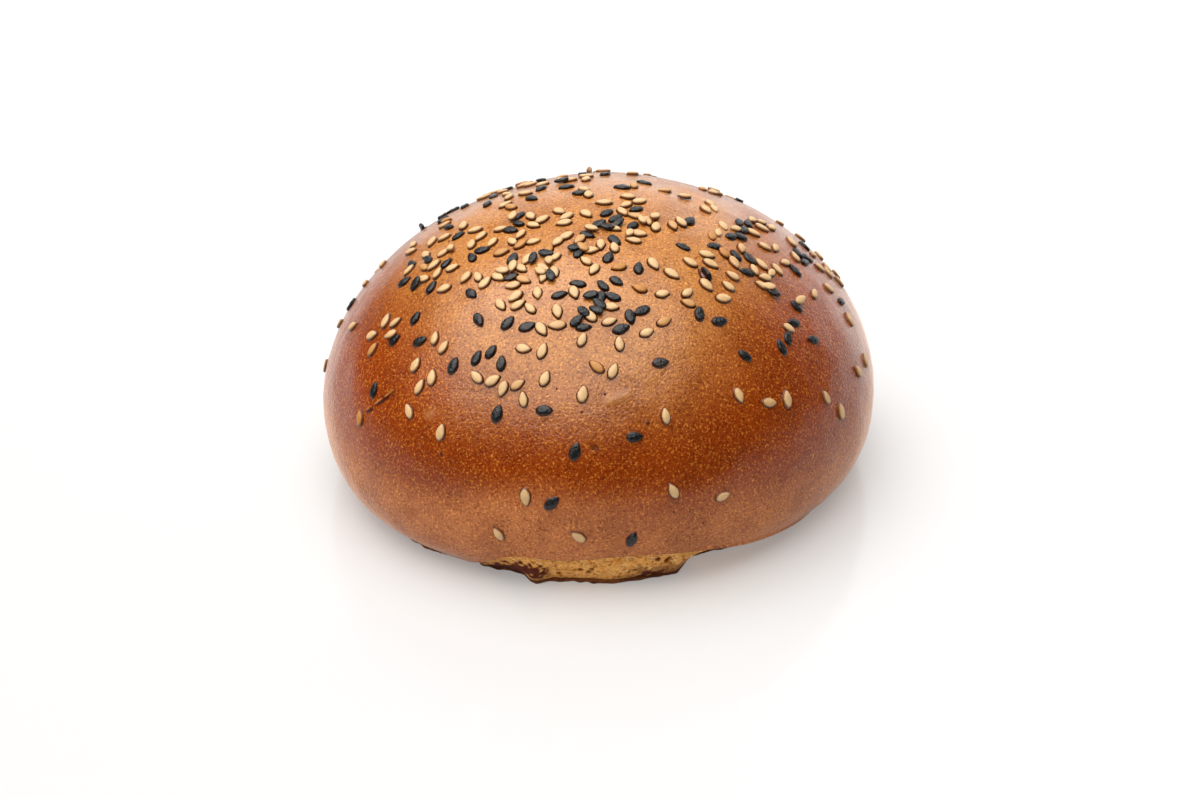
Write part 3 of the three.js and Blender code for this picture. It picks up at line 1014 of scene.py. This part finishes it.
class ROLL_OT_stage(bpy.types.Operator):
    """Add the table top, the soft studio light and the camera"""

    bl_idname = "roll.stage"
    bl_label = "Add stage"

    def execute(self, context):
        start_clean()
        material = floor_material()
        # The lit table top ends in front of the roll. The apron carries it on toward the
        # camera, but lights and mirrors nothing
        for name, side, shines in (("table_top", 1, True), ("table_apron", -1, False)):
            bpy.ops.mesh.primitive_plane_add(
                size=TABLE_SIZE, location=(0, side * TABLE_SIZE / 2 - TABLE_FRONT, 0))
            floor = context.object
            floor.name = name
            floor.data.materials.append(material)
            floor.visible_diffuse = shines
            floor.visible_glossy = shines
        self.surroundings(context.scene)
        self.lamp(context.collection)
        self.camera(context)
        context.scene.view_settings.view_transform = "Standard"
        return {"FINISHED"}

    def surroundings(self, scene):
        """Wide soft light overhead, a white backdrop behind, dark on the other sides."""
        world = bpy.data.worlds.new("white_room")
        scene.world = world
        world.use_nodes = True
        tree = world.node_tree
        tree.nodes.clear()
        direction = add(tree, "ShaderNodeTexCoord").outputs["Generated"]
        parts = []
        for toward, low, high, power in (OVERHEAD, BACKDROP):
            facing = add(tree, "ShaderNodeVectorMath", {0: direction, 1: toward},
                         {"operation": "DOT_PRODUCT"}).outputs["Value"]
            parts.append(add(tree, RANGE, {"Value": facing, "From Min": low,
                                           "From Max": high, "To Min": 0.02,
                                           "To Max": power}, SMOOTH))
        strength = add(tree, MATH, {0: parts[0], 1: parts[1]}, {"operation": "MAXIMUM"})
        room = add(tree, "ShaderNodeBackground",
                   {"Color": (1, 0.985, 0.965, 1), "Strength": strength})
        plain = add(tree, "ShaderNodeBackground", {"Color": (1, 1, 1, 1), "Strength": 1.0})
        seen = add(tree, "ShaderNodeLightPath").outputs["Is Camera Ray"]
        mixed = add(tree, "ShaderNodeMixShader", {0: seen, 1: room, 2: plain})
        add(tree, "ShaderNodeOutputWorld", {"Surface": mixed})

    def lamp(self, collection):
        """A faint wide lamp behind on the left, turned toward the roll."""
        data = bpy.data.lights.new("overhead_soft_lamp", "AREA")
        data.shape = "DISK"
        data.size = 0.8
        data.energy = 2
        lamp = bpy.data.objects.new("overhead_soft_lamp", data)
        collection.objects.link(lamp)
        lamp.location = (-0.35, 0.35, 1.1)
        lamp.rotation_euler = (-lamp.location).to_track_quat("-Z", "Y").to_euler()

    def camera(self, context):
        """The camera fitted to the photograph's outline of the roll."""
        data = bpy.data.cameras.new("camera")
        data.sensor_width = 36
        data.lens = 36 * PIXELS_PER_RADIAN / IMAGE_WIDTH
        data.clip_start = 0.01
        camera = bpy.data.objects.new("camera", data)
        context.collection.objects.link(camera)
        up = math.radians(CAMERA_ELEVATION)
        camera.location = (0, -CAMERA_DISTANCE * math.cos(up), CAMERA_DISTANCE * math.sin(up))
        drop = math.atan((ORIGIN_ROW - IMAGE_MIDDLE_ROW) / PIXELS_PER_RADIAN)
        camera.rotation_euler = (math.pi / 2 - up + drop, 0, 0)
        context.scene.camera = camera


class ROLL_PT_panel(bpy.types.Panel):
    """Lists the sizes, the colours and the pieces of the roll"""

    bl_idname = "ROLL_PT_panel"
    bl_label = "Bread Roll"
    bl_space_type = "VIEW_3D"
    bl_region_type = "UI"
    bl_category = "Bread Roll"

    def draw(self, context):
        for group in (context.scene.roll_sizes, context.scene.roll_colours):
            box = self.layout.box()
            for name in group.__annotations__:
                box.prop(group, name)
        for operator in OPERATORS:
            self.layout.operator(operator.bl_idname)


OPERATORS = (ROLL_OT_crust, ROLL_OT_crumb, ROLL_OT_base, ROLL_OT_sesame, ROLL_OT_stage)
CLASSES = (RollSizes, RollColours) + OPERATORS + (ROLL_PT_panel,)


def register():
    for item in CLASSES:
        bpy.utils.register_class(item)
    bpy.types.Scene.roll_sizes = bpy.props.PointerProperty(type=RollSizes)
    bpy.types.Scene.roll_colours = bpy.props.PointerProperty(type=RollColours)


def unregister():
    del bpy.types.Scene.roll_colours
    del bpy.types.Scene.roll_sizes
    for item in reversed(CLASSES):
        bpy.utils.unregister_class(item)


def main():
    register()
    bpy.ops.roll.crust()
    bpy.ops.roll.crumb()
    bpy.ops.roll.base()
    bpy.ops.roll.sesame()
    bpy.ops.roll.stage()


if __name__ == "__main__":
    main()
